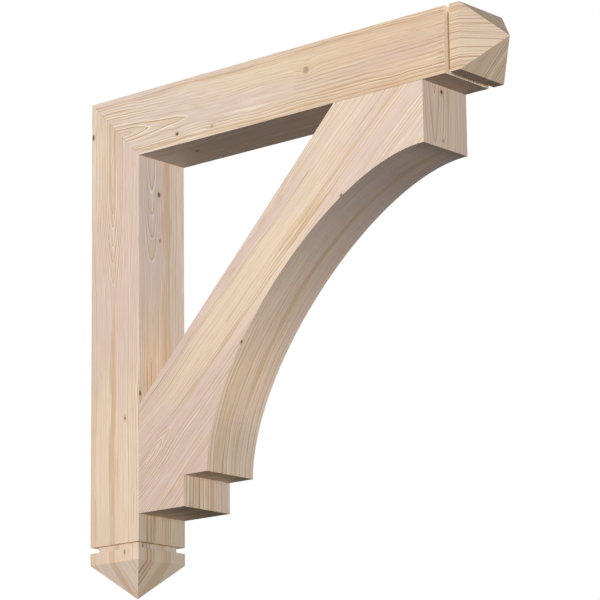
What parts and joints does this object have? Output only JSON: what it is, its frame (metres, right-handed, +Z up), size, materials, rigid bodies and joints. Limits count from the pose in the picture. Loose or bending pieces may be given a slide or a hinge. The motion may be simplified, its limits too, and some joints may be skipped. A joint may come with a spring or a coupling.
{
  "type": "timber corbel bracket",
  "caption": "Timber corbel bracket: a wall post and a top beam mitred together, with grooved, pointed ends and an arched, stepped diagonal brace between them.",
  "frame": {"origin": "centre of the plain back face of the wall post, on the wall", "axes": "+X out from the wall along the beam, +Y along the wall, +Z up"},
  "size_m": [1.077, 0.1396, 1.077],
  "materials": {
    "post_wood": "unfinished planed softwood, upright grain",
    "beam_wood": "unfinished planed softwood, level grain",
    "brace_wood": "unfinished planed softwood, diagonal grain"
  },
  "bodies": {
    "root": {"wall_post": "post_wood", "top_beam": "beam_wood", "arched_brace": "brace_wood"}
  },
  "joints": []
}
